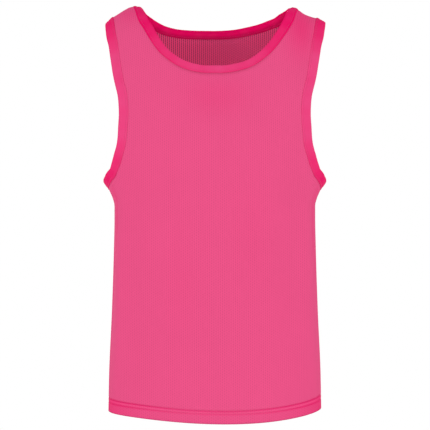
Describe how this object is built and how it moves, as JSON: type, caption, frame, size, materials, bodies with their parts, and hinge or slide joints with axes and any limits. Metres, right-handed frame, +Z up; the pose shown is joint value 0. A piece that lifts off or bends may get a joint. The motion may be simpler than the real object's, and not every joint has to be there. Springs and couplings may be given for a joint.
{
  "type": "mesh training bib",
  "caption": "Sleeveless mesh training bib with a scooped front neckline, bound neck and armholes and a folded hem, filled out as if worn.",
  "frame": {"origin": "midway between the two straps, at the height where they rest on the wearer's shoulders", "axes": "+Z up through the neck opening, -Y towards the front of the garment, +X to the right seen from the front"},
  "size_m": [0.3655, 0.2132, 0.6711],
  "materials": {
    "mesh_fabric": "matte knitted polyester mesh",
    "binding_fabric": "soft knitted polyester binding"
  },
  "bodies": {
    "root": {"front_panel": "mesh_fabric", "back_panel": "mesh_fabric", "neck_binding": "binding_fabric", "armhole_binding_left": "binding_fabric", "armhole_binding_right": "binding_fabric"}
  },
  "joints": []
}
